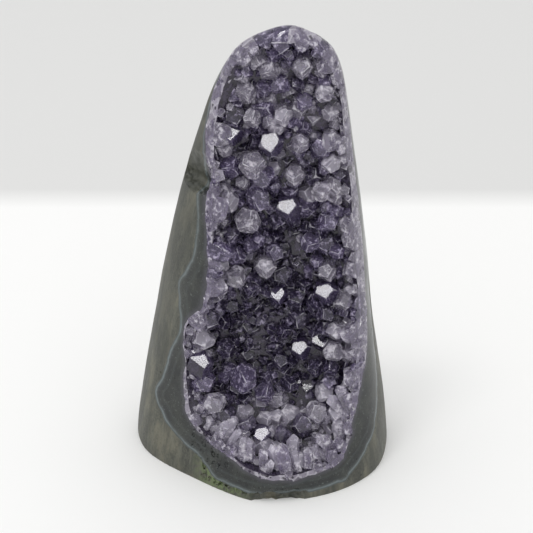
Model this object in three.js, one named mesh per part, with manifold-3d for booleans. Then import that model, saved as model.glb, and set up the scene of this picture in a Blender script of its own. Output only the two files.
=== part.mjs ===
// Amethyst cluster on a cut base: a standing piece of geode wall, lined with quartz points.
// Millimetres, +Z up, front towards -Y, origin at the middle of the base on the table.
import * as THREE from 'three';
import { mergeVertices } from 'three/addons/utils/BufferGeometryUtils.js';
import Module from 'manifold-3d';

const wasm = await Module();
wasm.setup();

// Driving dimensions
const height = 122;
const baseWidth = 70.6;
const baseFront = 26.5;       // base edge in front of the origin
const baseBack = 26.5;        // base edge behind it
const mouthFoot = 22;         // how far in front of the origin the mouth plane meets the table
const mouthLean = 0.2235;     // mouth plane, mm back per mm up
const gap = 0.3;              // clearance between touching solids
const crystalSides = 6;

const smoothstep = THREE.MathUtils.smoothstep;
const clamp = THREE.MathUtils.clamp;

// ---- solids ----

function toManifold(geometry) {
  const bare = geometry.index ? geometry.toNonIndexed() : geometry.clone();
  bare.deleteAttribute('normal');
  bare.deleteAttribute('uv');
  const welded = mergeVertices(bare, 1e-4);
  const corners = welded.index.array;
  const triangles = [];
  for (let i = 0; i < corners.length; i += 3) {
    const [a, b, c] = corners.subarray(i, i + 3);
    if (a !== b && b !== c && c !== a) triangles.push(a, b, c);
  }
  return new wasm.Manifold(new wasm.Mesh({
    numProp: 3,
    vertProperties: new Float32Array(welded.attributes.position.array),
    triVerts: new Uint32Array(triangles),
  }));
}

function toGeometry(solid) {
  const mesh = solid.getMesh();
  const geometry = new THREE.BufferGeometry();
  geometry.setAttribute('position', new THREE.BufferAttribute(mesh.vertProperties, 3));
  geometry.setIndex(new THREE.BufferAttribute(mesh.triVerts, 1));
  geometry.computeVertexNormals();
  return geometry;
}

// A cut can leave loose chips beside the piece: only the largest body is kept.
function largestBody(solid) {
  const bodies = solid.decompose();
  return bodies.reduce((best, body) => (body.volume() > best.volume() ? body : best));
}

// Closed solid from a sphere's grid: row 0 is its lowest point and the last row its highest.
function gridSolid(columns, rows, pointAt) {
  const geometry = new THREE.SphereGeometry(1, columns, rows);
  const position = geometry.attributes.position;
  const point = new THREE.Vector3();
  for (let row = 0; row <= rows; row++) {
    for (let column = 0; column <= columns; column++) {
      pointAt(rows - row, (column % columns) / columns, point);
      position.setXYZ(row * (columns + 1) + column, point.x, point.y, point.z);
    }
  }
  return toManifold(geometry);
}

// Smooth value of one field of a table of rows that are sorted by z
function rowValue(rows, z, field) {
  let i = 0;
  while (i < rows.length - 2 && z > rows[i + 1].z) i++;
  const t = clamp((z - rows[i].z) / (rows[i + 1].z - rows[i].z), 0, 1);
  const at = (k) => rows[clamp(k, 0, rows.length - 1)][field];
  const curve = new THREE.CatmullRomCurve3([i - 1, i, i + 1, i + 2].map(
    (k) => new THREE.Vector3(k, at(k), 0)), false, 'catmullrom', 0.5);
  return curve.getPoint((1 + t) / 3).y;
}

// ---- the free form: ground and polished outside ----

const bodyRows = [
  { z: 0, left: -baseWidth / 2, right: baseWidth / 2, front: -baseFront, back: baseBack },
  { z: 15, left: -33.3, right: 33.9, front: -22.5, back: 26.3 },
  { z: 35, left: -29.7, right: 30.7, front: -17, back: 25.6 },
  { z: 55, left: -26, right: 28.6, front: -12.5, back: 24.4 },
  { z: 75, left: -21.3, right: 26, front: -8, back: 22.4 },
  { z: 94, left: -16, right: 23.2, front: -3.5, back: 19.8 },
  { z: 106.5, left: -11.6, right: 21.4, front: -0.6, back: 18 },
  { z: 114.3, left: -7.5, right: 19.4, front: 1.6, back: 15.6 },
  { z: 119.3, left: -3, right: 15.6, front: 3.6, back: 13 },
  { z: height, left: 5, right: 9, front: 7, back: 9 },
];

// Outlines as fractions of the half width and of the depth before and behind the widest line,
// from the front and on round to the right. The foot is ground flat left and right of a front corner.
const footOutline = [
  [0.03, -1], [0.31, -0.92], [0.58, -0.83], [0.8, -0.66], [0.94, -0.45], [1, -0.1], [0.96, 0.3], [0.8, 0.72],
  [0.46, 0.97], [0, 1], [-0.46, 0.95], [-0.82, 0.68], [-0.99, 0.2], [-0.965, -0.14], [-0.87, -0.36],
  [-0.6, -0.58], [-0.28, -0.83],
];
const crownOutline = [
  [0.1, -1], [0.4, -0.96], [0.68, -0.8], [0.88, -0.52], [0.98, -0.2], [0.99, 0.14], [0.9, 0.5], [0.68, 0.8],
  [0.36, 0.96], [0, 1], [-0.4, 0.92], [-0.76, 0.66], [-0.97, 0.24], [-0.985, -0.12], [-0.86, -0.45],
  [-0.6, -0.76], [-0.24, -0.95],
];
const widestAt = 0.655;       // where the outline is widest, as a fraction of its depth from the front
const footHeight = 12;        // the ground foot keeps its outline up to here
const crownHeight = 62;       // and is an even oval from here up

function outlineCurve(outline) {
  const corners = outline.map(([x, y]) => new THREE.Vector3(x, y, 0));
  return new THREE.CatmullRomCurve3(corners, true, 'catmullrom', 0.5);
}
const footCurve = outlineCurve(footOutline);
const crownCurve = outlineCurve(crownOutline);

// Point of the free form's side at a height, a fraction of the way round
function bodyPoint(z, fraction, target) {
  const value = (field) => rowValue(bodyRows, z, field);
  const middleX = (value('left') + value('right')) / 2;
  const halfWidth = (value('right') - value('left')) / 2;
  const widestY = value('front') + widestAt * (value('back') - value('front'));
  const blend = smoothstep(z, footHeight, crownHeight);
  const shape = footCurve.getPoint(fraction).lerp(crownCurve.getPoint(fraction), blend);
  const depth = shape.y < 0 ? widestY - value('front') : value('back') - widestY;
  return target.set(middleX + shape.x * halfWidth, widestY + shape.y * depth, z);
}

const bodyColumns = 36;
const bodyLevels = [0, 5, 12, 20, 30, 40, 50, 60, 70, 80, 90, 98, 105, 111, 116, 119.3, 121.2];

const groundForm = gridSolid(bodyColumns, bodyLevels.length + 1, (row, fraction, point) => {
  if (row === 0) return point.set(0, 0, 0);
  if (row > bodyLevels.length) return point.set(7, 8, height);
  return bodyPoint(bodyLevels[row - 1], fraction, point);
});

// An old chip out of the left edge leaves a low step
const chipPlace = new THREE.Vector3(-21.6, 3, 80);
const chipSize = new THREE.Vector3(3.2, 12, 5.5);
const chipTilt = -0.5;

function chipSolid() {
  const chip = new THREE.IcosahedronGeometry(1, 2);
  chip.scale(chipSize.x, chipSize.y, chipSize.z);
  chip.rotateX(chipTilt);
  chip.translate(chipPlace.x, chipPlace.y, chipPlace.z);
  return toManifold(chip);
}

const freeForm = groundForm.subtract(chipSolid());

// ---- the nested layers: each a trough behind the leaning mouth plane ----

const mouthY = (z) => mouthLean * z - mouthFoot;

// Outer face of the agate, where it meets the basalt
const agateRows = [
  { z: 1.6, left: 0, right: 21, depth: 2 },
  { z: 2.8, left: -11.5, right: 25.5, depth: 5 },
  { z: 5, left: -15.5, right: 28, depth: 9 },
  { z: 7, left: -19.5, right: 30.5, depth: 12 },
  { z: 9.5, left: -27.5, right: 33, depth: 16 },
  { z: 13, left: -35, right: 36, depth: 20 },
  { z: 17, left: -39, right: 38, depth: 23.5 },
  { z: 20.5, left: -38, right: 39, depth: 24.5 },
  { z: 24, left: -31.5, right: 40, depth: 24 },
  { z: 34, left: -29.5, right: 42, depth: 23 },
  { z: 38, left: -25.5, right: 42, depth: 22 },
  { z: 45, left: -23.5, right: 42, depth: 22 },
  { z: 50, left: -25, right: 42, depth: 22 },
  { z: 54.5, left: -24.3, right: 42, depth: 21.5 },
  { z: 58, left: -20.2, right: 42, depth: 21 },
  { z: 63, left: -18.6, right: 42, depth: 20.5 },
  { z: 83, left: -17.5, right: 39, depth: 17 },
  { z: 102, left: -18, right: 35, depth: 13 },
  { z: 130, left: -19, right: 34, depth: 5 },
];

// Outer face of the quartz, where it meets the agate
const quartzRows = [
  { z: 6, left: 3, right: 15, depth: 2 },
  { z: 7.5, left: -1.5, right: 20, depth: 4.5 },
  { z: 9, left: -6, right: 22, depth: 6.5 },
  { z: 11, left: -11.5, right: 23.3, depth: 8.5 },
  { z: 13, left: -16.3, right: 24, depth: 11 },
  { z: 16, left: -20.8, right: 24.4, depth: 13.5 },
  { z: 20, left: -22.5, right: 25.2, depth: 15.5 },
  { z: 28, left: -21.8, right: 28.5, depth: 17 },
  { z: 36, left: -21.4, right: 32, depth: 17.5 },
  { z: 45, left: -20.9, right: 33, depth: 17 },
  { z: 48, left: -15.5, right: 33, depth: 16.5 },
  { z: 53, left: -14.3, right: 33, depth: 16 },
  { z: 66, left: -13.8, right: 33, depth: 15 },
  { z: 80, left: -14.2, right: 31, depth: 12.5 },
  { z: 100, left: -16, right: 28, depth: 10.6 },
  { z: 130, left: -17, right: 29, depth: 4.5 },
];

// Floor of the hollow, which the crystal points stand on
const hollowRows = [
  { z: 9, left: 2, right: 14, depth: 2 },
  { z: 11, left: -7, right: 18, depth: 4.5 },
  { z: 13.5, left: -13.5, right: 20.8, depth: 7.5 },
  { z: 16.5, left: -18, right: 22.5, depth: 9.5 },
  { z: 20, left: -20.2, right: 23.6, depth: 11 },
  { z: 27, left: -21.2, right: 24.8, depth: 12.4 },
  { z: 36, left: -21.2, right: 26, depth: 13 },
  { z: 44, left: -20.6, right: 26.4, depth: 12.6 },
  { z: 48, left: -14.4, right: 26.4, depth: 12.4 },
  { z: 54, left: -13, right: 26.2, depth: 12 },
  { z: 62, left: -12.4, right: 25.8, depth: 11.6 },
  { z: 80, left: -12.4, right: 24.8, depth: 9.4 },
  { z: 98, left: -13, right: 22.6, depth: 7 },
  { z: 110, left: -10, right: 19.4, depth: 5.4 },
  { z: 117, left: -3, right: 14.5, depth: 3.6 },
  { z: 119.8, left: 3.5, right: 10, depth: 1.6 },
];

const agateFullness = 2.4;    // exponent of the trough's section: 2 is an ellipse, more is squarer
const quartzFullness = 3.6;
const hollowFullness = 4.5;   // the hollow's walls stand steep behind the rim
const troughReach = 26;       // how far each trough runs out in front of the mouth plane
const troughColumns = 30;
const troughStations = 16;
const stationCrowding = 1.25; // above 1 the stations crowd towards the foot
const poleStep = 0.5;         // how far the closing point stands out beyond a trough's end ring

// The trough that a table of rows describes, made larger all round by grow
function troughSolid(rows, fullness, grow = 0) {
  const low = rows[0].z;
  const high = rows[rows.length - 1].z;
  return gridSolid(troughColumns, troughStations + 1, (row, fraction, point) => {
    const along = clamp((row - 1) / (troughStations - 1), 0, 1);
    const z = low + (high - low) * Math.pow(along, stationCrowding);
    const middle = (rowValue(rows, z, 'left') + rowValue(rows, z, 'right')) / 2;
    const halfWidth = (rowValue(rows, z, 'right') - rowValue(rows, z, 'left')) / 2 + grow;
    const onPole = row === 0 || row > troughStations;
    const angle = fraction * 2 * Math.PI;
    const round = (value) => Math.sign(value) * Math.pow(Math.abs(value), 2 / fullness);
    const depth = Math.sin(angle) > 0 ? rowValue(rows, z, 'depth') + grow : troughReach;
    const spread = onPole ? 0 : 1;
    return point.set(
      middle + spread * round(Math.cos(angle)) * halfWidth,
      mouthY(z) + spread * round(Math.sin(angle)) * depth,
      z + (row === 0 ? -poleStep - grow : row > troughStations ? poleStep + grow : 0),
    );
  });
}

// ---- quartz points ----

// Place on the hollow's floor at a distance across and a height, with the way that a point grows there
function floorY(x, z) {
  const left = rowValue(hollowRows, z, 'left');
  const right = rowValue(hollowRows, z, 'right');
  const across = clamp(Math.abs(x - (left + right) / 2) / ((right - left) / 2), 0, 0.98);
  const depth = rowValue(hollowRows, z, 'depth');
  return mouthY(z) + depth * Math.pow(1 - Math.pow(across, hollowFullness), 1 / hollowFullness);
}

const slopeStep = 0.8;        // distance over which the floor's slope is taken
const steepest = 1.6;         // slope that the points follow at most, sideways and up
const steepestDown = 0.6;     // and down

function floorFrame(x, z) {
  const riseX = (floorY(x + slopeStep, z) - floorY(x - slopeStep, z)) / (2 * slopeStep);
  const riseZ = (floorY(x, z + slopeStep) - floorY(x, z - slopeStep)) / (2 * slopeStep);
  const slopeX = clamp(riseX, -steepest, steepest);
  const slopeZ = clamp(riseZ, -steepestDown, steepest);
  return {
    place: new THREE.Vector3(x, floorY(x, z), z),
    growth: new THREE.Vector3(slopeX, -1, slopeZ).normalize(),
  };
}

const rootDepth = 2.2;        // how deep a point is rooted in the bed
const rootTaper = 0.8;        // width of its root, in widths
const shaftLength = 0.55;     // of its straight part, in widths
const tipLength = 0.6;        // and of its end
const pointLean = 0.24;       // how far points lean off the square to the floor

// Six-sided prism with a pointed end, standing on the floor and rooted below it
function crystalSolid(spec, grow = 0) {
  const { x, z, size, turn } = spec;
  const radius = size / 2 + grow;
  const rooted = rootDepth + grow;
  const shaft = size * shaftLength;
  const tip = size * tipLength + grow;
  const profile = [[0, -rooted], [radius * rootTaper, -rooted], [radius, 0], [radius, shaft], [0, shaft + tip]];
  const geometry = new THREE.LatheGeometry(profile.map(([r, h]) => new THREE.Vector2(r, h)), crystalSides);
  const { place, growth } = floorFrame(x, z);
  const lean = new THREE.Vector3(Math.cos(turn), 0, Math.sin(turn)).multiplyScalar(pointLean);
  const axis = growth.add(lean).normalize();
  geometry.rotateY(turn);
  geometry.applyQuaternion(new THREE.Quaternion().setFromUnitVectors(new THREE.Vector3(0, 1, 0), axis));
  geometry.translate(place.x, place.y, place.z);
  return toManifold(geometry);
}

// The larger points, by the part of the hollow that they stand in: across, height, width
const crystalZones = {
  crown: [[-1, 113.5, 6.2], [4, 115, 4.2], [10.5, 113, 5], [15.2, 110.5, 4], [-5, 108, 5], [4.5, 107.5, 4.6],
    [16.5, 105, 4.6], [11.5, 103.5, 4.2]],
  upper: [[17.5, 99.5, 4.6], [6, 99.5, 5.2], [-2.5, 98.5, 4.6], [-7, 94.5, 4.4], [18, 93, 5], [10, 91.5, 4.6],
    [3, 92, 5.6], [-2.5, 86.5, 6.8], [18.5, 86.5, 4.6], [9.5, 83, 5]],
  middle: [[15, 79, 5], [-8.5, 76, 4.8], [7.5, 74.5, 6.2], [-4, 70.5, 6.2], [18, 70.5, 4.8], [-3, 64, 4.2],
    [13, 64, 5], [1.5, 58, 5.6]],
  left_wall: [[-8, 54.5, 5.8], [-15.8, 43, 5.6], [-16.5, 37, 5.2], [-16.5, 31, 5.6], [-16.2, 25, 5],
    [-13.5, 19.5, 5]],
  hollow: [[-3, 51.5, 4.4], [5, 50, 4.6], [17, 56.5, 5], [17.5, 50.5, 5.4], [17.5, 45, 5], [10.5, 34.5, 4.6],
    [-4, 26.5, 7], [5, 31, 4.6], [14.5, 29, 5]],
  right_wall: [[20, 62, 4.4], [20, 40, 5], [19.5, 34.5, 4.6], [19, 29.5, 4.6], [17.5, 23.5, 5]],
  lower_lip: [[-9, 16.2, 5], [-4.4, 13.6, 5], [0.5, 13, 4.8], [5.8, 12.2, 4.4], [11, 13.4, 5], [15.4, 16.6, 5]],
};

const goldenAngle = Math.PI * (3 - Math.sqrt(5));

const crystals = Object.entries(crystalZones).flatMap(([zone, rows]) => rows.map(
  ([x, z, size], i) => ({ name: `${zone}_crystal_${i + 1}`, x, z, size })));
crystals.forEach((spec, i) => { spec.turn = i * goldenAngle; });

// Room for the quartz: the free form's share of the quartz trough
const quartzRoom = freeForm.intersect(troughSolid(quartzRows, quartzFullness, -gap / 2));

// Each point gives way to the ones before it, and the polished outside cuts it flush.
function boxesTouch(a, b) {
  const first = a.boundingBox();
  const second = b.boundingBox();
  return [0, 1, 2].every((k) => first.min[k] < second.max[k] && second.min[k] < first.max[k]);
}

const crystalSolids = [];
const crystalSockets = [];
for (const spec of crystals) {
  let solid = crystalSolid(spec).intersect(quartzRoom);
  for (const socket of crystalSockets) {
    if (boxesTouch(solid, socket)) solid = solid.subtract(socket);
  }
  crystalSolids.push(largestBody(solid));
  crystalSockets.push(crystalSolid(spec, gap));
}

// ---- small points, grown together with the bed ----

const smallSpacing = 5;
const smallWidth = 4;
const smallHeight = 3.4;
const smallRoot = 1.5;
const smallColumns = 9;
const smallFoot = 13;         // height of the lowest row
const smallTop = 115;         // and none stands above this height
const smallKeepOff = 0.62;    // clear space round a larger point, in its widths
const smallProfile = [[0, -smallRoot], [smallWidth / 2, -smallRoot], [0, smallHeight]];

function smallPoints() {
  const points = [];
  const rowCount = Math.floor((smallTop - smallFoot) / smallSpacing) + 1;
  for (let order = 0; order < rowCount * smallColumns; order++) {
    const row = Math.floor(order / smallColumns);
    const column = (order % smallColumns) - (smallColumns - 1) / 2;
    const x = (column + 0.5 + (row % 2) / 2) * smallSpacing + Math.sin(order * goldenAngle);
    const z = smallFoot + row * smallSpacing + Math.cos(order * goldenAngle);
    const left = rowValue(hollowRows, z, 'left') + 1;
    const right = rowValue(hollowRows, z, 'right') - 1;
    const crowded = crystals.some(
      (spec) => Math.hypot(spec.x - x, spec.z - z) < spec.size * smallKeepOff + 1);
    if (x < left || x > right || z > smallTop || crowded) continue;
    const cone = new THREE.LatheGeometry(smallProfile.map(([r, h]) => new THREE.Vector2(r, h)), crystalSides);
    const { place, growth } = floorFrame(x, z);
    cone.rotateY(order);
    cone.applyQuaternion(new THREE.Quaternion().setFromUnitVectors(new THREE.Vector3(0, 1, 0), growth));
    cone.translate(place.x, place.y, place.z);
    points.push(toManifold(cone));
  }
  return points;
}

// ---- layers of the geode wall ----

const basalt = largestBody(freeForm.subtract(troughSolid(agateRows, agateFullness, gap / 2)));

const agate = largestBody(freeForm.intersect(troughSolid(agateRows, agateFullness, -gap / 2))
  .subtract(troughSolid(quartzRows, quartzFullness, gap / 2)));

let bed = quartzRoom.subtract(troughSolid(hollowRows, hollowFullness));
bed = bed.add(wasm.Manifold.union(smallPoints()).intersect(quartzRoom));
bed = largestBody(bed.subtract(wasm.Manifold.union(crystalSockets)));

// ---- materials ----

const basaltMaterial = new THREE.MeshStandardMaterial({ color: 0x6b6f60, roughness: 0.55, metalness: 0 });
const agateMaterial = new THREE.MeshStandardMaterial({ color: 0x3f474a, roughness: 0.12, metalness: 0 });
const bedMaterial = new THREE.MeshStandardMaterial({ color: 0x8a8298, roughness: 0.25, metalness: 0 });
const crystalMaterial = new THREE.MeshStandardMaterial({ color: 0x6c6182, roughness: 0.08, metalness: 0 });

// ---- the cluster ----

const group = new THREE.Group();

function addMesh(name, solid, material) {
  const mesh = new THREE.Mesh(toGeometry(solid), material.clone());
  mesh.name = name;
  group.add(mesh);
}

addMesh('basalt_rind', basalt, basaltMaterial);
addMesh('agate_lining', agate, agateMaterial);
addMesh('quartz_bed', bed, bedMaterial);
crystals.forEach((spec, i) => addMesh(spec.name, crystalSolids[i], crystalMaterial));

export default group;
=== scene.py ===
import math
import random

import bmesh
import bpy
from mathutils import Matrix, Vector


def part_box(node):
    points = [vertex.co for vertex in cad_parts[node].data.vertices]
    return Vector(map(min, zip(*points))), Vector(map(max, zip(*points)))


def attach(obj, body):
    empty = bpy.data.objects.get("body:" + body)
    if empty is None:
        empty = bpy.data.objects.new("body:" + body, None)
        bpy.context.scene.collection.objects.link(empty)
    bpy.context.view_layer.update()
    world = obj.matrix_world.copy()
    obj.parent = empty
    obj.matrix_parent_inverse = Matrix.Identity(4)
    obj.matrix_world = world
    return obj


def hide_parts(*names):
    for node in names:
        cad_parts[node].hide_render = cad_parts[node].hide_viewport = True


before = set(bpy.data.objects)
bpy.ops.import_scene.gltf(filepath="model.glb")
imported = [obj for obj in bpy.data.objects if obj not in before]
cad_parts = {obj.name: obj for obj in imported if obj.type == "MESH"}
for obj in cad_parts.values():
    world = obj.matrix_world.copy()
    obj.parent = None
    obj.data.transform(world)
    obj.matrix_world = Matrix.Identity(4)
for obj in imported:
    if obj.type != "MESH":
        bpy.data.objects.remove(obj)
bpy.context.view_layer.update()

# Amethyst cluster on a cut base: a standing piece of geode wall. Its outside is ground to a tapered
# free form, which cuts through basalt, agate and quartz, and quartz points fill the hollow in front.
# Tables of places are in millimetres; everything that Blender is given is in metres.
mm = 0.001
sharpFrom = 32  # edges of the ground pieces are sharp from this angle on, in degrees
surfaceReach = 0.02  # what is nearer than this to a surface is on it
goldenAngle = math.pi * (3 - math.sqrt(5))


# what several pieces use

def pickOnly(*pieces):
    bpy.ops.object.select_all(action="DESELECT")
    for piece in pieces:
        piece.select_set(True)
    bpy.context.view_layer.objects.active = pieces[0]


def blendValue(low, high, amount):
    return low + (high - low) * amount


def easeBetween(value, start, end):
    t = min(max((value - start) / (end - start), 0), 1)
    return t * t * (3 - 2 * t)


def splineValue(values, position):
    # smooth curve through evenly numbered values
    last = len(values) - 1
    i = min(max(int(position), 0), last - 1)
    t = position - i
    a, b, c, d = (values[min(max(k, 0), last)] for k in (i - 1, i, i + 1, i + 2))
    return b + 0.5 * t * (c - a + t * (2 * a - 5 * b + 4 * c - d + t * (3 * (b - c) + d - a)))


def rowAt(rows, z):
    # one row of a table at any height: the first column is z and the others are smooth in it
    i = 0
    while i < len(rows) - 2 and z > rows[i + 1][0]:
        i += 1
    t = min(max((z - rows[i][0]) / (rows[i + 1][0] - rows[i][0]), 0), 1)
    return [splineValue([row[k] for row in rows], i + t) for k in range(1, len(rows[0]))]


def applyModifier(piece, kind, **settings):
    pickOnly(piece)
    modifier = piece.modifiers.new(kind.lower(), kind)
    for key, value in settings.items():
        setattr(modifier, key, value)
    bpy.ops.object.modifier_apply(modifier=modifier.name)


def smoothSurface(piece, levels):
    applyModifier(piece, "SUBSURF", levels=levels, render_levels=levels)


def roughenSurface(piece, name, size, height, group="", detail=2):
    # bumps of a given size and height, pushed out of and into the surface
    lumps = bpy.data.textures.new(name, "CLOUDS")
    lumps.noise_scale = size * mm
    lumps.noise_depth = detail
    applyModifier(piece, "DISPLACE", texture=lumps, texture_coords="LOCAL", strength=height * mm,
                  mid_level=0.5, vertex_group=group)


def combine(piece, tool, operation):
    applyModifier(piece, "BOOLEAN", object=tool, operation=operation, solver="MANIFOLD")


def copyOf(piece, name):
    twin = piece.copy()
    twin.data = piece.data.copy()
    twin.name = name
    bpy.context.collection.objects.link(twin)
    return twin


def placeCorners(piece, corners, before):
    # moves the ring of selected corners, one by one, to its places
    mesh = bmesh.from_edit_mesh(piece.data)
    ring = [corner for corner in mesh.verts if corner.select]
    if before:
        ring = [min(ring, key=lambda corner: (corner.co - place).length) for place in before]
    for corner, place in zip(ring, corners):
        for other in ring:
            other.select = other is corner
        bpy.ops.transform.translate(value=place - corner.co)
    for corner in ring:
        corner.select = True
    mesh.select_flush(True)
    bmesh.update_edit_mesh(piece.data)


def loftRings(name, rings):
    # closed cage: one ring is filled and extruded up through all the others
    bpy.ops.object.select_all(action="DESELECT")
    bpy.ops.mesh.primitive_circle_add(vertices=len(rings[0]), radius=10 * mm, fill_type="NGON")
    piece = bpy.context.active_object
    piece.name = name
    bpy.ops.object.mode_set(mode="EDIT")
    bpy.ops.mesh.select_all(action="SELECT")
    before = None
    for ring in rings:
        if before:
            bpy.ops.mesh.extrude_region_move()
        placeCorners(piece, ring, before)
        before = ring
    bpy.ops.mesh.select_all(action="SELECT")
    bpy.ops.mesh.normals_make_consistent(inside=False)
    # extruding numbers the new faces in any order, and this gives them the same one each time
    bpy.ops.mesh.sort_elements(type="CURSOR_DISTANCE", elements={"VERT", "EDGE", "FACE"})
    bpy.ops.object.mode_set(mode="OBJECT")
    return piece


# the free form: what the grinding wheel left of the geode wall

freeForm = {
    # height, left edge, right edge, front, back
    "stations": [
        (0, -35.3, 35.3, -26.5, 26.5), (15, -33.3, 33.9, -22.5, 26.3), (35, -29.7, 30.7, -17, 25.6),
        (55, -26, 28.6, -12.5, 24.4), (75, -21.3, 26, -8, 22.4), (94, -16, 23.2, -3.5, 19.8),
        (106.5, -11.6, 21.4, -0.6, 18), (114.3, -7.5, 19.4, 1.6, 15.6), (119.3, -3, 15.6, 3.6, 13),
        (122, 5, 9, 7, 9),
    ],
    # outlines as fractions of the half width and the depth, from the front corner on to the right
    "foot": [
        (0.03, -1), (0.31, -0.92), (0.58, -0.83), (0.8, -0.66), (0.94, -0.45), (1, -0.1), (0.96, 0.3),
        (0.8, 0.72), (0.46, 0.97), (0, 1), (-0.46, 0.95), (-0.82, 0.68), (-0.99, 0.2), (-0.965, -0.14),
        (-0.87, -0.36), (-0.6, -0.58), (-0.28, -0.83),
    ],
    "crown": [
        (0.1, -1), (0.4, -0.96), (0.68, -0.8), (0.88, -0.52), (0.98, -0.2), (0.99, 0.14), (0.9, 0.5),
        (0.68, 0.8), (0.36, 0.96), (0, 1), (-0.4, 0.92), (-0.76, 0.66), (-0.97, 0.24), (-0.985, -0.12),
        (-0.86, -0.45), (-0.6, -0.76), (-0.24, -0.95),
    ],
    "footHeight": 12,
    "crownHeight": 62,
    "widestAt": 0.655,
    "levels": [0, 0.9, 7, 16, 28, 40, 52, 64, 76, 88, 98, 106, 112.5, 117.5, 120.8, 122.3],
    "footEdge": 0.1,  # edges lower than this are kept sharp
    "wornEdge": 0.99,  # the lowest ring is this much smaller, so that the bottom edge is worn round
    "smoothing": 3,
    "waviness": (22, 0.5),  # size and height of the unevenness that hand grinding leaves
    "backLumps": (5, 1.1),  # and of the weathered skin at the back
    "backFacing": (0.25, 0.8),  # how far round to the back that skin fades in
}


def bodyRing(z):
    left, right, front, back = rowAt(freeForm["stations"], z)
    middle = (left + right) / 2
    halfWidth = (right - left) / 2
    widest = blendValue(front, back, freeForm["widestAt"])
    share = easeBetween(z, freeForm["footHeight"], freeForm["crownHeight"])
    # subdivision pulls a ring in, and this much more makes up for it
    swell = 3 / (2 + math.cos(2 * math.pi / len(freeForm["foot"])))
    swell *= freeForm["wornEdge"] if z == 0 else 1
    ring = []
    for foot, crown in zip(freeForm["foot"], freeForm["crown"]):
        across = blendValue(foot[0], crown[0], share) * swell
        along = blendValue(foot[1], crown[1], share) * swell
        depth = widest - front if along < 0 else back - widest
        ring.append(Vector((middle + across * halfWidth, widest + along * depth, z)) * mm)
    return ring


def makeFreeForm():
    piece = loftRings("freeForm", [bodyRing(z) for z in freeForm["levels"]])
    pickOnly(piece)
    bpy.ops.object.mode_set(mode="EDIT")
    bpy.ops.mesh.select_all(action="DESELECT")
    mesh = bmesh.from_edit_mesh(piece.data)
    for edge in mesh.edges:
        edge.select = all(corner.co.z < freeForm["footEdge"] * mm for corner in edge.verts)
    bmesh.update_edit_mesh(piece.data)
    bpy.ops.transform.edge_crease(value=1)
    bpy.ops.object.mode_set(mode="OBJECT")
    smoothSurface(piece, freeForm["smoothing"])
    return piece


# the nested layers: each one is a trough behind the leaning mouth plane, wider and deeper than the last

mouth = {
    "foot": -22,  # where the mouth plane meets the table
    "lean": 0.2235,  # and how far it goes back for each millimetre up
}

trough = {
    "agateFullness": 2.4,  # of a section: 2 is an ellipse and more is squarer
    "quartzFullness": 3.6,
    "hollowFullness": 4.5,  # the hollow's walls stand steep behind the rim
    "reach": 26,  # how far it runs out in front of the mouth plane
    "backCorners": 13,
    "smoothing": 3,
    # unevenness of each trough: feature size and height, mm
    "agateWaves": (7, 2.6),
    "quartzWaves": (4, 2.2),
    "hollowLumps": (4, 1.6),
}

# height, left edge, right edge, depth behind the mouth plane
agateEdge = [
    (1.6, 0, 21, 2), (2.8, -11.5, 25.5, 5), (5, -15.5, 28, 9), (7, -19.5, 30.5, 12),
    (9.5, -27.5, 33, 16), (13, -35, 36, 20), (17, -39, 38, 23.5), (20.5, -38, 39, 24.5),
    (24, -31.5, 40, 24), (34, -29.5, 42, 23), (38, -25.5, 42, 22), (45, -23.5, 42, 22),
    (50, -25, 42, 22), (54.5, -24.3, 42, 21.5), (58, -20.2, 42, 21), (63, -18.6, 42, 20.5),
    (83, -17.5, 39, 17), (102, -18, 35, 13), (130, -19, 34, 5),
]
quartzEdge = [
    (6, 3, 15, 2), (7.5, -1.5, 20, 4.5), (9, -6, 22, 6.5), (11, -11.5, 23.3, 8.5), (13, -16.3, 24, 11),
    (16, -20.8, 24.4, 13.5), (20, -22.5, 25.2, 15.5), (28, -21.8, 28.5, 17), (36, -21.4, 32, 17.5),
    (45, -20.9, 33, 17), (48, -15.5, 33, 16.5), (53, -14.3, 33, 16), (66, -13.8, 33, 15),
    (80, -14.2, 31, 12.5), (100, -16, 28, 10.6), (130, -17, 29, 4.5),
]
hollowEdge = [
    (7.6, 2.5, 15, 1.6), (9.2, -4.5, 19.5, 3.6), (11, -9.5, 21.8, 5.4), (13.5, -15.6, 22.9, 7.9),
    (16.5, -19.7, 23.4, 9.8), (20, -21.3, 24, 11), (27, -21.5, 25.4, 12.4), (36, -21.3, 26.4, 13),
    (44, -20.8, 26.8, 12.6), (48, -14.6, 26.6, 12.4), (54, -13, 26.4, 12), (62, -12.4, 25.8, 11.6),
    (80, -12.4, 24.8, 9.4), (98, -13, 22.6, 7), (110, -10, 19.4, 5.4), (117, -3, 14.5, 3.6),
    (119.8, 3.5, 10, 1.6),
]


def mouthAt(z):
    return mouth["foot"] + mouth["lean"] * z


def troughRing(edge, z, fullness):
    def roundTo(value):
        return math.copysign(abs(value) ** (2 / fullness), value)

    left, right, depth = rowAt(edge, z)
    middle = (left + right) / 2
    halfWidth = (right - left) / 2
    last = trough["backCorners"] - 1
    ring = []
    for corner in range(last + 1):
        angle = math.pi * corner / last
        ring.append(Vector((middle + halfWidth * roundTo(math.cos(angle)),
                            mouthAt(z) + depth * roundTo(math.sin(angle)), z)) * mm)
    for across, share in ((-1, 0.5), (-1, 1), (0, 1), (1, 1), (1, 0.5)):
        ring.append(Vector((middle + across * halfWidth, mouthAt(z) - share * trough["reach"], z)) * mm)
    return ring


def makeTrough(name, edge, fullness):
    piece = loftRings(name, [troughRing(edge, row[0], fullness) for row in edge])
    smoothSurface(piece, trough["smoothing"])
    return piece


# marks on the ground outside

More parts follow.
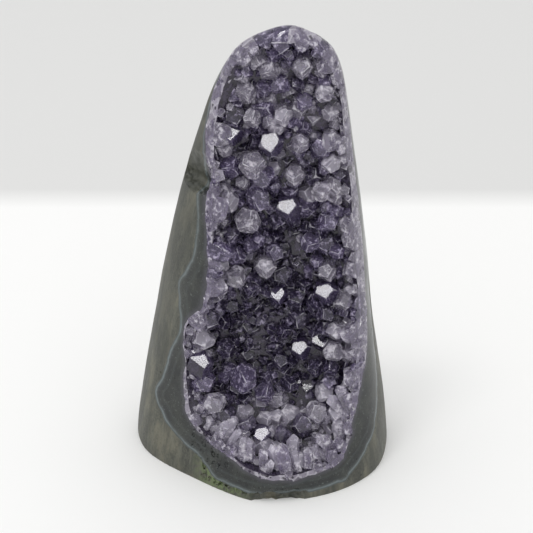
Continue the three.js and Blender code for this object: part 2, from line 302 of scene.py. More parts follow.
chip = {
    # an old chip out of the left edge, with a flat ledge at its foot: place, half sizes and turn
    "place": (-19, 4.4, 86.2),
    "size": (4.1, 7, 7.8),
    "turn": (0, -0.2, 0.585),
    "lumps": (2.5, 1),
}

underLip = {
    # the basalt is worn back beneath the agate's lower edge
    "place": (7, -27.6, 1.2),
    "size": (15, 4.4, 3.4),
    "turn": (0.1, 0, 0),
    "lumps": (3, 2.4),
}

pits = {
    # cut gas bubbles: how many, smallest and largest width, spacing, lowest and highest place
    "basalt": (60, 0.4, 1.1, 0.62, (-40, -40, 1), (40, 40, 120)),
    "mossyVug": (44, 1.4, 3.6, 0.3, (-16, -40, 1.4), (-4, -15, 8.5)),
    "agate": (16, 0.5, 1.1, 0.62, (-40, -40, 2), (40, 40, 120)),
    "vuggyPatch": (34, 0.8, 2.4, 0.34, (-19, -40, 6.5), (-9, 0, 15.5)),
    "quartzRim": (70, 0.5, 1.4, 0.5, (-40, -40, 2), (40, 40, 123)),
    "outline": (0.8, 0.7),  # size of a pit's lumps, and their height in widths of the smallest
    "shrunk": (0.6, 1),  # small pits are the commonest
    "squashed": (0.7, 1.1),
    "sunk": 0.2,  # how far a bubble's middle is outside the ground surface, in widths
    "tries": 6000,
    "seenFrom": 0.1,  # m from the middle, well outside the stone
}


def lumpyBall(name, place, size, turn, lumps):
    bpy.ops.object.select_all(action="DESELECT")
    bpy.ops.mesh.primitive_ico_sphere_add(subdivisions=5, radius=mm)
    piece = bpy.context.active_object
    piece.name = name
    piece.scale = size
    piece.rotation_euler = turn
    piece.location = Vector(place) * mm
    bpy.ops.object.transform_apply(location=True, rotation=True, scale=True)
    roughenSurface(piece, name, *lumps)
    return piece


def lumpyBlock(name, place, size, turn, lumps):
    bpy.ops.object.select_all(action="DESELECT")
    bpy.ops.mesh.primitive_cube_add(size=2 * mm, location=Vector(place) * mm, scale=size, rotation=turn)
    piece = bpy.context.active_object
    piece.name = name
    bpy.ops.object.transform_apply(location=True, rotation=True, scale=True)
    bpy.ops.object.mode_set(mode="EDIT")
    bpy.ops.mesh.select_all(action="SELECT")
    bpy.ops.mesh.subdivide(number_cuts=4)
    bpy.ops.object.mode_set(mode="OBJECT")
    smoothSurface(piece, 3)
    roughenSurface(piece, name, *lumps)
    return piece


def cutPits(piece, kind):
    # small lumpy balls are cut out of the piece where its ground outside lies between the two places
    count, low, high, spacing, lowest, highest = pits[kind]
    random.seed(kind)
    kept = []
    for _ in range(pits["tries"]):
        around = random.uniform(-math.pi, math.pi)
        z = random.uniform(lowest[2], highest[2]) * mm
        width = random.uniform(low, high) * random.uniform(*pits["shrunk"]) * mm
        outside = Vector((math.cos(around) * pits["seenFrom"], math.sin(around) * pits["seenFrom"], z))
        met, place, normal, index = ground.ray_cast(outside, Vector((0, mouthAt(z / mm) * mm, z)) - outside)
        if not met or not all(a < b < c for a, b, c in zip(lowest, place / mm, highest)):
            continue
        roomy = all((place - other).length > (width + size) * spacing for other, away, size in kept)
        if roomy and onSurface(piece, place):
            kept.append((place, normal, width))
        if len(kept) == count:
            break
    balls = []
    for place, normal, width in kept:
        bpy.ops.object.select_all(action="DESELECT")
        bpy.ops.mesh.primitive_ico_sphere_add(subdivisions=3, radius=width / 2,
                                              location=place + normal * pits["sunk"] * width)
        ball = bpy.context.active_object
        ball.scale = [random.uniform(*pits["squashed"]) for _ in range(3)]
        balls.append(ball)
    pickOnly(*balls)
    bpy.ops.object.join()
    bpy.ops.object.transform_apply(location=True, rotation=True, scale=True)
    tool = bpy.context.active_object
    roughenSurface(tool, kind, pits["outline"][0], low * pits["outline"][1])
    combine(piece, tool, "DIFFERENCE")
    bpy.data.objects.remove(tool)
    print(kind, len(kept), "pits")


def onSurface(piece, place):
    found, near, normal, index = piece.closest_point_on_mesh(place)
    return (near - place).length < surfaceReach * mm


def storeValues(piece, name, domain, values):
    layer = piece.data.attributes.new(name, "FLOAT", domain)
    layer.data.foreach_set("value", values)


def distanceTo(guide, place):
    found, near, normal, index = guide.closest_point_on_mesh(place)
    return (near - place).length / mm


body = makeFreeForm()
roughenSurface(body, "handGrinding", *freeForm["waviness"])
weathered = body.vertex_groups.new(name="weatheredBack")
for corner in body.data.vertices:
    weathered.add([corner.index], easeBetween(corner.normal.y, *freeForm["backFacing"]), "REPLACE")
roughenSurface(body, "weatheredBack", *freeForm["backLumps"], group="weatheredBack")
ground = copyOf(body, "ground")
for tool in (lumpyBlock("chip", **chip), lumpyBall("underLip", **underLip)):
    combine(body, tool, "DIFFERENCE")
    bpy.data.objects.remove(tool)
agateTrough = makeTrough("agateTrough", agateEdge, trough["agateFullness"])
roughenSurface(agateTrough, "agateWaves", *trough["agateWaves"])
quartzTrough = makeTrough("quartzTrough", quartzEdge, trough["quartzFullness"])
roughenSurface(quartzTrough, "quartzWaves", *trough["quartzWaves"])
hollowTrough = makeTrough("hollowTrough", hollowEdge, trough["hollowFullness"])
hollowGuide = copyOf(hollowTrough, "hollowGuide")
roughenSurface(hollowTrough, "hollowLumps", *trough["hollowLumps"])
print("free form:", len(body.data.polygons), "faces")


# the layers of the wall

basalt = copyOf(body, "basaltRind")
combine(basalt, agateTrough, "DIFFERENCE")
cutPits(basalt, "basalt")
cutPits(basalt, "mossyVug")
agate = copyOf(body, "agateLining")
combine(agate, agateTrough, "INTERSECT")
combine(agate, quartzTrough, "DIFFERENCE")
cutPits(agate, "agate")
cutPits(agate, "vuggyPatch")
bed = copyOf(body, "quartzBed")
combine(bed, quartzTrough, "INTERSECT")
combine(bed, hollowTrough, "DIFFERENCE")
cutPits(bed, "quartzRim")
cutPits(bed, "vuggyPatch")
for piece in (basalt, agate, bed):
    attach(piece, "root")
    pickOnly(piece)
    bpy.ops.object.shade_smooth_by_angle(angle=math.radians(sharpFrom))
    print(piece.name, len(piece.data.polygons), "faces")
for border, guide in (("fromBasalt", agateTrough), ("fromQuartz", quartzTrough)):
    storeValues(agate, border, "POINT", [distanceTo(guide, corner.co) for corner in agate.data.vertices])
storeValues(bed, "polished", "FACE", [float(onSurface(body, face.center)) for face in bed.data.polygons])
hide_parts("basalt_rind")
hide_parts("agate_lining")
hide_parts("quartz_bed")


# where it is seen and lit from, which the flashing faces are set to

stage = {
    # painted shade: from here back the floor is painted greyer, standing in for a backdrop wall in less light
    "wallAt": (142, 156),  # how far behind the origin the floor's tone falls off, mm
    "near": "#f6f6f5",
    "far": "#dcdcdb",
    "floorSize": 4,  # m
    "roomLight": 0.9,
    "aim": (0, 0, 0.06),  # what the lights are turned to, m
    # place, size in m, power: a wide soft light overhead and a small bright one that the crystal faces mirror
    "lights": {"overhead": ((-0.12, 0.12, 1.15), 2.2, 2), "window": ((-0.24, -0.16, 0.8), 0.16, 0.85)},
}

view = {
    "lookAt": (1.5, 0, 58),
    "elevation": 30,
    "distance": 450,
    "lens": 115.6,
}


def eyePlace():
    tilt = math.radians(view["elevation"])
    return (Vector(view["lookAt"]) + Vector((0, -math.cos(tilt), math.sin(tilt))) * view["distance"]) * mm


# quartz points

quartz = {
    "sides": 6,
    "length": 3,  # of a point, in widths
    "faceSlope": math.radians(51.8),  # a quartz point's end faces, from the plane across its length
    "narrow": 0.03,  # faces smaller than this, in square widths, are its worn edges
    "merge": 0.01,
    "kinds": 10,
    "seed": 11,
    "shorter": 0.12,  # how much lower than the tip its faces end, at most, and how much more every other one
    "muchShorter": (0.15, 0.45),
    "edgeWear": 0.023,  # of the width: what is left of an edge when it catches the light
}


def growPoint(name, length, ends):
    # hexagonal prism one unit wide whose end is cut by six faces; ends says how high each face would
    # meet the axis, so that lower faces come out larger
    bpy.ops.object.select_all(action="DESELECT")
    bpy.ops.mesh.primitive_cylinder_add(vertices=quartz["sides"], radius=0.5, depth=length,
                                        location=(0, 0, length / 2))
    piece = bpy.context.active_object
    piece.name = name
    bpy.ops.object.mode_set(mode="EDIT")
    for face, height in enumerate(ends):
        bpy.ops.mesh.select_all(action="SELECT")
        around = (face + 0.5) * 2 * math.pi / quartz["sides"]
        slope = quartz["faceSlope"]
        normal = (math.sin(around) * math.sin(slope), math.cos(around) * math.sin(slope), math.cos(slope))
        bpy.ops.mesh.bisect(plane_co=(0, 0, height), plane_no=normal, clear_outer=True, use_fill=True)
    bpy.ops.mesh.select_all(action="SELECT")
    bpy.ops.mesh.remove_doubles(threshold=quartz["merge"])
    bpy.ops.mesh.select_all(action="SELECT")
    bpy.ops.mesh.bevel(offset=quartz["edgeWear"], segments=1, affect="EDGES")
    bpy.ops.mesh.normals_make_consistent(inside=False)
    bpy.ops.object.mode_set(mode="OBJECT")
    bpy.ops.object.transform_apply(location=True)
    storeValues(piece, "worn", "FACE", [float(face.area < quartz["narrow"]) for face in piece.data.polygons])
    return piece


random.seed(quartz["seed"])
pointKinds = []
for kind in range(quartz["kinds"]):
    ends = []
    for face in range(quartz["sides"]):
        height = quartz["length"] - random.uniform(0, quartz["shorter"])
        ends.append(height if face % 2 == 1 else height - random.uniform(*quartz["muchShorter"]))
    pointKinds.append(growPoint(f"pointKind{kind}", quartz["length"], ends))
print("points of", len(pointKinds), "kinds, of", len(pointKinds[0].data.polygons), "faces")


def setPoint(kind, name, floor, growth, width, turn, stand, tone):
    # copy of a point at its size, turned about its own length, with its tip so many widths off the floor
    piece = copyOf(pointKinds[kind], name)
    heights = [corner.co.z for corner in piece.data.vertices]
    storeValues(piece, "rootToTip", "POINT", [1 - (quartz["length"] - height) / stand for height in heights])
    storeValues(piece, "tone", "POINT", [tone] * len(heights))
    upright = growth.to_track_quat("Z", "Y").to_matrix().to_4x4()
    root = floor - growth * (quartz["length"] - stand) * width
    place = Matrix.Translation(root) @ upright @ Matrix.Rotation(turn, 4, "Z")
    piece.data.transform(place @ Matrix.Scale(width, 4))
    return piece


def growthAt(place):
    # nearest spot of the hollow's floor, and the way that a point grows from it
    found, near, normal, index = hollowGuide.closest_point_on_mesh(place)
    return near, -normal


druse = {
    # width from, width to, how many are tried: the large ones first and the small ones between them
    "crops": [(4.6, 7, 600), (3.2, 4.6, 2500), (1.9, 3.1, 6500)],
    "heights": (7.8, 119.6),  # from the lowest to the highest
    "crowding": 0.56,  # of half the two widths: how near two neighbours may stand
    "outwards": 0.4,  # how much the points turn to the light rather than square to the wall
    "lean": 0.38,
    "stand": (0.55, 1.35),  # how many widths a tip stands off the floor
    "lowest": 0.4,
    # the named points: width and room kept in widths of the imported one, and how far the tip stands off
    "namedWidth": 1.12,
    "namedStand": 1.45,
    "namedLean": 0.24,
    "namedRoom": 0.9,
    "namedSeed": 5,
    "flashWidth": 1.15,
    "flashStand": 1.35,
    "seed": 23,
    "proud": 0.05,  # how far the cut ends stand out of the bed's polished face, mm
    "clear": 0.2,  # how far above its own spot a point starts to look for the wall, mm
    "cutRight": 0.6,  # how many of the points that reach the outside are ground flush, right of here
    "rightFrom": 16,
    "cutElsewhere": 0.15,
    # paleness from 0, deep violet, to 1: at the rims, low down, in the crown and everywhere else
    "rimTone": 0.8,
    "lipTone": 0.95,
    "crownTone": 0.54,
    "upperTone": 0.42,
    "depthTone": 0.06,
    "upperFrom": (52, 84),  # heights over which one tone gives way to the next, and shares of the half width
    "crownFrom": (84, 108),
    "lipFrom": (24, 15),
    "rimFrom": (0.6, 0.92),
    "toneSpread": 0.24,
    "pale": 0.62,  # points paler than this are of the pale kind
    "deep": 0.26,  # and darker than this of the deep kind
}
outwards = Vector((0, -1, 0.15))
inwards = {"lower_lip": Vector((0, 0.1, 1.2)), "left_wall": Vector((0.6, 0, 0.5))}  # from the rim, more so

rimPoints = {
    # large pale points stand close together round the lower rim, from the left wall to the right
    "leftFrom": 46,
    "rightTo": 30,
    "spacing": 1.9,
    "width": (2.2, 4),
    "stand": (1.7, 2.9),
    "inset": (0.8, 3),
    "behind": (1.6, 4),  # how far behind the ground outside
    "towards": (5, 50),  # across and up
    "seenFrom": -60,  # well in front of the stone
    "back": 0.2,
    "lean": 0.2,
    "tone": (0.75, 1.2),
    "seed": 31,
}

# how pale the points are that stand out from those around them
standouts = {
    "crown_crystal_1": 0.85, "crown_crystal_3": 0.8, "crown_crystal_4": 0.9, "crown_crystal_7": 0.9,
    "upper_crystal_5": 0.9, "upper_crystal_8": 0.68, "upper_crystal_9": 0.95, "upper_crystal_3": 0.7,
    "middle_crystal_2": 0.95, "middle_crystal_4": 0.64, "middle_crystal_8": 0.92, "middle_crystal_7": 0.5,
    "left_wall_crystal_1": 0.75, "left_wall_crystal_3": 0.95, "hollow_crystal_3": 0.7,
    "hollow_crystal_7": 0.4, "right_wall_crystal_2": 0.95, "right_wall_crystal_5": 0.95,
    "lower_lip_crystal_2": 0.95, "lower_lip_crystal_5": 0.9,
}

# points with a clean face that throws the window light to the front
flashing = {"middle_crystal_3", "upper_crystal_4", "hollow_crystal_2", "hollow_crystal_6", "hollow_crystal_4",
            "upper_crystal_7", "left_wall_crystal_4", "lower_lip_crystal_3"}


def toneAt(place):
    across, depth, z = place / mm
    left, right, depth = rowAt(hollowEdge, min(max(z, hollowEdge[0][0]), hollowEdge[-1][0]))
    share = abs(across - (left + right) / 2) / ((right - left) / 2)
    tone = blendValue(druse["depthTone"], druse["upperTone"], easeBetween(z, *druse["upperFrom"]))
    tone = blendValue(tone, druse["crownTone"], easeBetween(z, *druse["crownFrom"]))
    tone = blendValue(tone, druse["rimTone"], easeBetween(share, *druse["rimFrom"]))
    tone = blendValue(tone, druse["lipTone"], easeBetween(z, *druse["lipFrom"]))
    return min(max(tone + random.gauss(0, druse["toneSpread"]), 0), 1)


def slotOf(tone):
    if tone > druse["pale"]:
        return "pale_amethyst"
    return "deep_amethyst" if tone < druse["deep"] else "amethyst"


def fittingStand(spot, growth, width, stand):
    # points that end inside the wall keep their tips; at the polished rims some are left to be cut flush
    met, place, normal, index = ground.ray_cast(spot + growth * druse["clear"] * mm, growth)
    share = druse["cutRight"] if spot.x > druse["rightFrom"] * mm else druse["cutElsewhere"]
    if not met or random.random() < share:
        return stand
    return max(min(stand, (place - spot).length / width), druse["lowest"])


def flashPlacing(place):
    # growth and turn that set one end face of a point halfway between the eye and the window light
    slope = quartz["faceSlope"]
    toEye = (eyePlace() - place).normalized()
    toWindow = (Vector(stage["lights"]["window"][0]) - place).normalized()
    flashWay = (toEye + toWindow).normalized()
    down = flashWay.cross(Vector((-1, -0.15, 0))).normalized()
    growth = (flashWay * math.cos(slope) + down * math.sin(slope)).normalized()
    side = (flashWay - growth * math.cos(slope)).normalized()
    local = growth.to_track_quat("Z", "Y").inverted() @ side
    around = math.pi / quartz["sides"]
    return growth, math.atan2(local.y, local.x) - math.atan2(math.cos(around), math.sin(around))


def trimToQuartz(piece):
    # only points that reach out of the quartz need the cut
    for corner in piece.data.vertices:
        found, near, normal, index = quartzZone.closest_point_on_mesh(corner.co)
        if (corner.co - near).dot(normal) > 0:
            combine(piece, quartzZone, "INTERSECT")
            return


def namedPoints():
    pieces = []
    random.seed(druse["namedSeed"])
    names = [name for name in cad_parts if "_crystal_" in name]
    for number, name in enumerate(names):
        low, high = (Vector(side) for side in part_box(name))
        root, normal = growthAt((low + high) / 2)
        turn = number * goldenAngle
        lean = Vector((math.cos(turn), 0, math.sin(turn))) * druse["namedLean"]
        width = min(high.x - low.x, high.z - low.z) * druse["namedWidth"]
        inward = inwards.get(name.split("_crystal_")[0], Vector())
        growth = (normal + outwards * druse["outwards"] + lean + inward).normalized()
        kind = number % len(pointKinds)
        if name in flashing:
            growth, turn = flashPlacing((low + high) / 2)
            width *= druse["flashWidth"]
        tone = standouts.get(name, toneAt(root))
        stand = druse["flashStand"]
        if name not in flashing:
            stand = fittingStand(root, growth, width, druse["namedStand"])
        piece = setPoint(kind, name + "_point", root, growth, width, turn, stand, tone)
        trimToQuartz(piece)
        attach(piece, "root")
        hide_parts(name)
        pieces.append(piece)
    return pieces


def floorSpot():
    # random spot of the hollow's floor, met by a ray from the middle of the mouth; none outside the stone
    z = random.uniform(*druse["heights"])
    left, right, depth = rowAt(hollowEdge, z)
    around = random.uniform(0, math.pi)
    middle = Vector(((left + right) / 2, mouthAt(z), z)) * mm
    way = Vector((math.cos(around) * (right - left) / 2, math.sin(around) * depth, 0)).normalized()
    met, spot, normal, index = hollowGuide.ray_cast(middle, way)
    found, near, outside, index = ground.closest_point_on_mesh(spot)
    return spot if met and (spot - near).dot(outside) < 0 else None


def drusePoints(taken):
    # points crowd the floor: each is tried at a random spot and stays where there is room
    random.seed(druse["seed"])
    tried = []
    for low, high, tries in druse["crops"]:
        for _ in range(tries):
            tried.append((floorSpot(), random.uniform(low, high) * mm))
    pieces = []
    for spot, width in tried:
        reach = druse["crowding"] / 2
        if not spot or any((spot - other).length <= reach * (width + size) for other, size in taken):
            continue
        taken.append((spot, width))
        near, normal = growthAt(spot)
        lean = Vector([random.gauss(0, druse["lean"]) for _ in range(3)])
        growth = (normal + outwards * druse["outwards"] + lean).normalized()
        kind = random.randrange(len(pointKinds))
        stand = fittingStand(near, growth, width, random.uniform(*druse["stand"]))
        turn = random.uniform(0, math.pi)
        pieces.append(setPoint(kind, "druse", near, growth, width, turn, stand, toneAt(spot)))
    return pieces


def pointsAtRim(taken):
    random.seed(rimPoints["seed"])
    path = [(row[1], row[0]) for row in reversed(quartzEdge) if row[0] <= rimPoints["leftFrom"]]
    path += [(row[2], row[0]) for row in quartzEdge if row[0] <= rimPoints["rightTo"]]
    pieces = []
    for (x, z), (nextX, nextZ) in zip(path, path[1:]):
        count = max(1, round(math.hypot(nextX - x, nextZ - z) / rimPoints["spacing"]))
        for step in range(count):
            share = (step + random.random()) / count
            edge = Vector((blendValue(x, nextX, share), 0, blendValue(z, nextZ, share)))
            inward = (Vector((rimPoints["towards"][0], 0, rimPoints["towards"][1])) - edge).normalized()
            spot = edge + inward * random.uniform(*rimPoints["inset"]) + Vector((0, rimPoints["seenFrom"], 0))
            met, place, normal, index = ground.ray_cast(spot * mm, Vector((0, 1, 0)))
            place = place + Vector((0, random.uniform(*rimPoints["behind"]) * mm, 0))
            lean = Vector([random.gauss(0, rimPoints["lean"]) for _ in range(3)])
            growth = (inward + Vector((0, rimPoints["back"], 0)) + lean).normalized()
            width = random.uniform(*rimPoints["width"]) * mm
            taken.append((place, width))
            kind = random.randrange(len(pointKinds))
            turn = random.uniform(0, math.pi)
            stand = random.uniform(*rimPoints["stand"])
            tone = random.uniform(*rimPoints["tone"])
            pieces.append(setPoint(kind, "druse", place, growth, width, turn, stand, tone))
    return pieces


# the quartz's share of the free form: points are cut flush where they reach the polished outside
quartzZone = copyOf(body, "quartzZone")
combine(quartzZone, quartzTrough, "INTERSECT")
applyModifier(quartzZone, "DISPLACE", strength=druse["proud"] * mm, mid_level=0)

named = namedPoints()
taken = []
for piece in named:
    low, high = (Vector(side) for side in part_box(piece.name[:-len("_point")]))
    taken.append((growthAt((low + high) / 2)[0], (high.x - low.x) * druse["namedRoom"]))
small = pointsAtRim(taken)
small += drusePoints(taken)
print("druse points", len(small))
bySlot = {"pale_amethyst": [], "amethyst": [], "deep_amethyst": []}
for piece in small:
    bySlot[slotOf(piece.data.attributes["tone"].data[0].value)].append(piece)
druses = []
for slot, pieces in bySlot.items():
    pickOnly(*pieces)
    bpy.ops.object.join()
    joined = bpy.context.active_object
    joined.name = slot.replace("amethyst", "druse")
    combine(joined, quartzZone, "INTERSECT")
    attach(joined, "root")
    druses.append((joined, slot))
    print(joined.name, len(joined.data.polygons), "faces")

for piece in pointKinds + [body, ground, agateTrough, quartzTrough, hollowTrough, hollowGuide, quartzZone]:
    bpy.data.objects.remove(piece)


# materials

def fromHex(colour):
    # sRGB hex to linear colour
    parts = [int(colour[k:k + 2], 16) / 255 for k in (1, 3, 5)]
    return [p / 12.92 if p <= 0.04045 else ((p + 0.055) / 1.055) ** 2.4 for p in parts] + [1]


def addNode(material, kind, out=0, ramp=(), settings=None, **links):
    # one node with its settings and what its inputs hold or come from, and the output that is wanted of it;
    # in0, in1 … name inputs by number, and colours are given in hex
    node = material.node_tree.nodes.new("ShaderNode" + kind)
    for key, value in (settings or {}).items():
        setattr(node, key, value)
    for key, value in links.items():
        socket = node.inputs[int(key[2:])] if key[:2] == "in" and key[2:].isdigit() else node.inputs[key]
        if isinstance(value, bpy.types.NodeSocket):
            material.node_tree.links.new(value, socket)
        else:
            socket.default_value = fromHex(value) if isinstance(value, str) else value
    while ramp and len(node.color_ramp.elements) < len(ramp):
        node.color_ramp.elements.new(0.5)
    for number, (position, colour) in enumerate(ramp):
        node.color_ramp.elements[number].position = position
        node.color_ramp.elements[number].color = fromHex(colour)
    return node.outputs[out]


def newMaterial(name, **values):
    material = bpy.data.materials.new(name)
    material.use_nodes = True
    shader = material.node_tree.nodes["Principled BSDF"]
    for key, value in values.items():
        shader.inputs[key.replace("_", " ")].default_value = value
    return material, shader


def addPatterns(material, place, patterns):
    # all the mottling of one material: feature size in millimetres, detail and roughness, and less than 1
    # draws it out upwards
    found = {}
    for name, (size, detail, rough, upright) in patterns.items():
        scaled = addNode(material, "VectorMath", settings={"operation": "MULTIPLY"}, in0=place,
                         in1=[share / (size * mm) for share in (1, 1, upright)])
        found[name] = addNode(material, "TexNoise", Vector=scaled, Scale=1.0, Detail=detail, Roughness=rough)
    return found


def overlay(material, tint, value, start, end, least, most, colour):
    # lays a colour over the tint: least of it where the value is at the start, most of it at the end
    share = addNode(material, "MapRange", Value=value, in1=start, in2=end, in3=least, in4=most)
    return addNode(material, "Mix", 2, settings={"data_type": "RGBA"}, in0=share, in6=tint, in7=colour)


def dress(material, shader, tint, rough, bump):
    # joins the finished colour, the roughness and the bump to the shader
    value, *between = rough
    height, distance, strength = bump
    sockets = {
        "Base Color": tint,
        "Roughness": addNode(material, "MapRange", Value=value,
                             **{f"in{k}": edge for k, edge in enumerate(between, 1)}),
        "Normal": addNode(material, "Bump", Height=height, Distance=distance * mm, Strength=strength),
    }
    for name, value in sockets.items():
        material.node_tree.links.new(value, shader.inputs[name])
    return material


basaltLook = {
    "patterns": {
        "cloud": (6, 4, 0.6, 0.4), "grain": (0.5, 2, 0.7, 1), "darkGrain": (0.8, 2, 0.8, 1),
        "shade": (11, 3, 0.6, 0.5), "scratch": (1.1, 3, 0.7, 0.06), "darkScratch": (2.6, 3, 0.7, 0.05),
        "moss": (1.6, 3, 0.55, 1),
    },
    "cloud": ((0.4, "#181b16"), (0.5, "#3b3d34"), (0.6, "#605d4e")),
    # mineral grains of a third of a millimetre, broad shading, and scratches that run up as the wheel did
    "overlays": {
        "grain": (0.35, 0.7, 0, 0.55, "#686858"), "darkGrain": (0.55, 0.72, 0, 0.6, "#2b2d28"),
        "shade": (0.42, 0.58, 0.55, 0, "#262921"), "scratch": (0.46, 0.62, 0, 0.45, "#65665c"),
        "darkScratch": (0.48, 0.62, 0, 0.5, "#2c2f28"),
    },
    # green celadonite in the vug low on the left, and painted shade darkening the old chip, in metres
    "vug": (-0.0105, -0.0195, 0.0045),
    "chip": (-0.0168, 0.0045, 0.0835),
}


def groundBasalt():
    # fine basalt, ground on a wheel: greenish grey with faint upright scratches, and duller than the agate
    material, shader = newMaterial("groundBasalt", IOR=1.6)
    place = addNode(material, "TexCoord", "Object")
    patterns = addPatterns(material, place, basaltLook["patterns"])
    tint = addNode(material, "ValToRGB", ramp=basaltLook["cloud"], Fac=patterns["cloud"])
    for name, layer in basaltLook["overlays"].items():
        tint = overlay(material, tint, patterns[name], *layer)
    toVug, toShadedChip = [addNode(material, "VectorMath", "Value", settings={"operation": "DISTANCE"}, in0=place,
                             in1=basaltLook[mark]) for mark in ("vug", "chip")]
    near = addNode(material, "MapRange", Value=toVug, in1=0.0045, in2=0.0105, in3=1.0, in4=0.0)
    mossy = addNode(material, "MapRange", Value=patterns["moss"], in1=0.4, in2=0.55)
    reach = addNode(material, "Math", settings={"operation": "MULTIPLY"}, in0=near, in1=mossy)
    tint = overlay(material, tint, reach, 0, 1, 0, 1, "#5d6b45")
    # painted shade: the basalt is painted darker towards the old chip's middle, where the recess falls in
    # shade
    tint = overlay(material, tint, toShadedChip, 0.0025, 0.0062, 0.8, 0, "#23271c")
    height = addNode(material, "Math", settings={"operation": "ADD"}, in0=patterns["scratch"],
                     in1=patterns["grain"])
    return dress(material, shader, tint, (patterns["scratch"], 0.3, 0.7, 0.38, 0.62), (height, 0.12, 0.6))


agateLook = {
    "patterns": {"wander": (2.5, 3, 0.55, 1), "blotch": (5, 4, 0.6, 1), "fleck": (0.6, 2, 0.7, 1)},
    "wander": 0.7,  # how far the bands stray, mm
    "bandsTo": 10.0,  # the depth that the stops below cover, mm
    "bands": (
        (0.0, "#3f4341"), (0.05, "#4c5354"), (0.09, "#687274"), (0.125, "#43494a"), (0.175, "#1f2425"),
        (0.28, "#15191a"), (0.35, "#2a3030"), (0.41, "#121617"), (0.65, "#191d1e"), (0.92, "#25282a"),
    ),
}


def polishedAgate():
    # banded agate, polished on felt: dark grey-green and glossy, with a thin paler line along the basalt
    material, shader = newMaterial("polishedAgate", IOR=1.54)
    place = addNode(material, "TexCoord", "Object")
    patterns = addPatterns(material, place, agateLook["patterns"])
    depth = addNode(material, "Attribute", "Fac", settings={"attribute_name": "fromBasalt"})
    bands = addNode(material, "Math", settings={"operation": "MULTIPLY_ADD"}, in0=patterns["wander"],
                    in1=agateLook["wander"], in2=depth)
    scaled = addNode(material, "MapRange", Value=bands, in1=0.0, in2=agateLook["bandsTo"])
    tint = addNode(material, "ValToRGB", ramp=agateLook["bands"], Fac=scaled)
    tint = overlay(material, tint, patterns["blotch"], 0.42, 0.68, 0, 0.6, "#3a3e38")
    tint = overlay(material, tint, patterns["fleck"], 0.62, 0.78, 0, 0.7, "#737a77")
    # towards the crystals the agate turns to clear quartz
    toQuartz = addNode(material, "Attribute", "Fac", settings={"attribute_name": "fromQuartz"})
    tint = overlay(material, tint, toQuartz, 0, 1.3, 0.6, 0, "#4d4b55")
    rough = (patterns["blotch"], 0.3, 0.7, 0.12, 0.3)
    return dress(material, shader, tint, rough, (patterns["fleck"], 0.05, 0.4))


sectionLook = {
    "patterns": {"shift": (1.5, 2, 0.55, 1), "veil": (1.2, 4, 0.65, 1)},
    "crystals": 2.6,  # width of the grown-together crystals that the polish cuts through, mm
    "shift": 0.0012,  # how far their borders stray, m
    "tones": ((0.0, "#494351"), (0.35, "#8b8593"), (0.75, "#a39dad"), (1.0, "#413b4a")),
}


def quartzSection():
    # massive quartz, sawn and polished at the rim, and painted near-black between the points as painted shade
    material, shader = newMaterial("quartzSection", IOR=1.544, Transmission_Weight=0.15)
    place = addNode(material, "TexCoord", "Object")
    patterns = addPatterns(material, place, sectionLook["patterns"])
    moved = addNode(material, "VectorMath", settings={"operation": "MULTIPLY_ADD"}, in0=patterns["shift"],
                    in1=(sectionLook["shift"],) * 3, in2=place)
    scale = 1 / (sectionLook["crystals"] * mm)
    cells = addNode(material, "TexVoronoi", "Color", settings={"feature": "F1"}, Vector=moved, Scale=scale)
    cell = addNode(material, "SeparateColor", in0=cells)
    tint = addNode(material, "ValToRGB", ramp=sectionLook["tones"], Fac=cell)
    seams = addNode(material, "TexVoronoi", "Distance", settings={"feature": "DISTANCE_TO_EDGE"},
                    Vector=moved, Scale=scale)
    tint = overlay(material, tint, seams, 0.0, 0.1, 0.6, 0, "#d8d5de")
    tint = overlay(material, tint, patterns["veil"], 0.5, 0.75, 0, 0.75, "#57525f")
    # painted shade: the bed's floor between the points, off the polished rim, is painted near-black where the
    # points shade it
    shadedFloorTint = overlay(material, "#17131f", patterns["veil"], 0.35, 0.65, 0, 1, "#433b50")
    polished = addNode(material, "Attribute", "Fac", settings={"attribute_name": "polished"})
    tint = overlay(material, shadedFloorTint, polished, 0, 1, 0, 1, tint)
    rough = (patterns["veil"], 0.3, 0.7, 0.12, 0.4)
    return dress(material, shader, tint, rough, (patterns["veil"], 0.12, 0.5))


# colour at the root, at the tip and of the veils; how clear the quartz is, how much of it is veiled, size of
# the veils in millimetres, and how uneven the faces are
amethystLooks = {
    "pale_amethyst": ("paleAmethyst", "#9f95b2", "#ddd5ec", "#f8f5fb", 0.76, 0.65, 1.9, 0.3),
    "amethyst": ("lilacAmethyst", "#675b84", "#a596c6", "#cec6dc", 0.8, 0.75, 1.3, 0.3),
    "deep_amethyst": ("deepAmethyst", "#2f2840", "#6c608a", "#a49cb2", 0.82, 0.7, 1.2, 0.3),
    "flashing": ("clearFacedAmethyst", "#4a3f5e", "#8d7fae", "#b9b2c8", 0.8, 0.06, 2, 0.04),
}


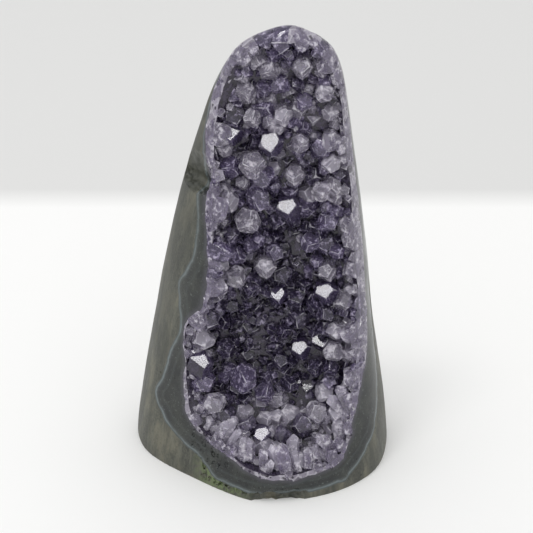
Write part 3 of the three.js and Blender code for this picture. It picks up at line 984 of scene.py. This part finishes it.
def naturalAmethyst(name, rootColour, tipColour, veilColour, clearness, cloudiness, veilSize, unevenness):
    # natural quartz faces: glassy, with fine growth steps across them, veils of tiny bubbles inside and worn
    # edges painted white here and there, partly as chips and partly as painted highlights where the edges
    # catch the light
    material, shader = newMaterial(name, IOR=1.544)
    place = addNode(material, "TexCoord", "Object")
    patterns = addPatterns(material, place, {
        "patch": (2.4, 3, 0.6, 1), "veil": (veilSize, 5, 0.7, 1), "chips": (1.7, 2, 0.55, 1)})
    along, tone, worn = [addNode(material, "Attribute", "Fac", settings={"attribute_name": name})
                         for name in ("rootToTip", "tone", "worn")]
    colouring = addNode(material, "Math", settings={"operation": "MULTIPLY_ADD"}, in0=patterns["patch"],
                        in1=1.2, in2=along)
    tint = overlay(material, rootColour, colouring, 0.55, 1.6, 0, 1, tipColour)
    tint = overlay(material, tint, tone, 0.0, 1.0, 0.0, 0.3, veilColour)
    veils = addNode(material, "MapRange", Value=patterns["veil"], in1=0.5, in2=0.64, in3=0.0, in4=cloudiness)
    tint = overlay(material, tint, veils, 0, 1, 0, 1, veilColour)
    # painted highlight: the narrow worn edge faces are painted near-white in patches, partly chips and partly
    # glints off the edges
    chippedAndGlinting = addNode(material, "MapRange", Value=patterns["chips"], in1=0.45, in2=0.62, in3=0.0, in4=0.55)
    chips = addNode(material, "Math", settings={"operation": "MULTIPLY"}, in0=worn, in1=chippedAndGlinting)
    tint = overlay(material, tint, chips, 0, 1, 0, 1, "#f4f2f7")
    # light goes through clear quartz and stops at the veils and at the white edge paint, and the palest
    # points are milky
    cloudy = addNode(material, "Math", settings={"operation": "MAXIMUM"}, in0=veils, in1=chips)
    throughVeils = addNode(material, "MapRange", Value=cloudy, in1=0.0, in2=1.0, in3=clearness, in4=0.1)
    throughMilk = addNode(material, "MapRange", Value=tone, in1=0.8, in2=1.2, in3=1.0, in4=0.6)
    clear = addNode(material, "Math", settings={"operation": "MULTIPLY"}, in0=throughVeils, in1=throughMilk)
    material.node_tree.links.new(clear, shader.inputs["Transmission Weight"])
    turns = addNode(material, "Math", settings={"operation": "MULTIPLY"}, in0=along, in1=70.0)
    steps = addNode(material, "Math", settings={"operation": "SINE"}, in0=turns)
    height = addNode(material, "Math", settings={"operation": "MULTIPLY_ADD"}, in0=steps, in1=0.12,
                     in2=patterns["patch"])
    return dress(material, shader, tint, (veils, 0, 1, 0.02, 0.25), (height, 0.06, unevenness))


amethysts = {kind: naturalAmethyst(*look) for kind, look in amethystLooks.items()}
for piece, material in ((basalt, groundBasalt()), (agate, polishedAgate()), (bed, quartzSection())):
    piece.data.materials.clear()
    piece.data.materials.append(material)
for piece in named:
    slot = slotOf(piece.data.attributes["tone"].data[0].value)
    druses.append((piece, slot))
for piece, slot in druses:
    kind = "flashing" if piece.name[:-len("_point")] in flashing else slot
    piece.data.materials.clear()
    piece.data.materials.append(amethysts[kind])
print("materials:", len(amethysts) + 3)


# the floor, light and camera

def paleFloor():
    # matt white board, flat, painted greyer behind the stone as painted shade where a backdrop wall would
    # stand in less light
    material, shader = newMaterial("paleFloor", Roughness=0.85)
    depth = addNode(material, "SeparateXYZ", "Y", in0=addNode(material, "TexCoord", "Object"))
    start, end = (edge * mm for edge in stage["wallAt"])
    # painted shade: the floor turns greyer further back
    tint = overlay(material, stage["near"], depth, start, end, 0, 1, stage["far"])
    material.node_tree.links.new(tint, shader.inputs["Base Color"])
    return material


def stageAndLight():
    bpy.ops.object.select_all(action="DESELECT")
    bpy.ops.mesh.primitive_plane_add(size=stage["floorSize"])
    floor = bpy.context.active_object
    floor.name = "floor"
    floor.data.materials.append(paleFloor())
    world = bpy.data.worlds.new("softRoom")
    bpy.context.scene.world = world
    world.use_nodes = True
    world.node_tree.nodes["Background"].inputs[0].default_value = (1, 1, 1, 1)
    world.node_tree.nodes["Background"].inputs[1].default_value = stage["roomLight"]
    for name, (place, size, power) in stage["lights"].items():
        lamp = bpy.data.lights.new(name, "AREA")
        lamp.energy = power
        lamp.size = size
        light = bpy.data.objects.new(name, lamp)
        light.location = place
        light.rotation_euler = (Vector(stage["aim"]) - Vector(place)).to_track_quat("-Z", "Y").to_euler()
        bpy.context.collection.objects.link(light)


def setCamera():
    camera = bpy.data.cameras.new("camera")
    camera.lens = view["lens"]
    camera.sensor_width = 36
    camera.clip_start = 0.02
    piece = bpy.data.objects.new("camera", camera)
    piece.location = eyePlace()
    piece.rotation_euler = (math.pi / 2 - math.radians(view["elevation"]), 0, 0)
    bpy.context.collection.objects.link(piece)
    bpy.context.scene.camera = piece


stageAndLight()
setCamera()
bpy.context.scene.view_settings.view_transform = "Standard"
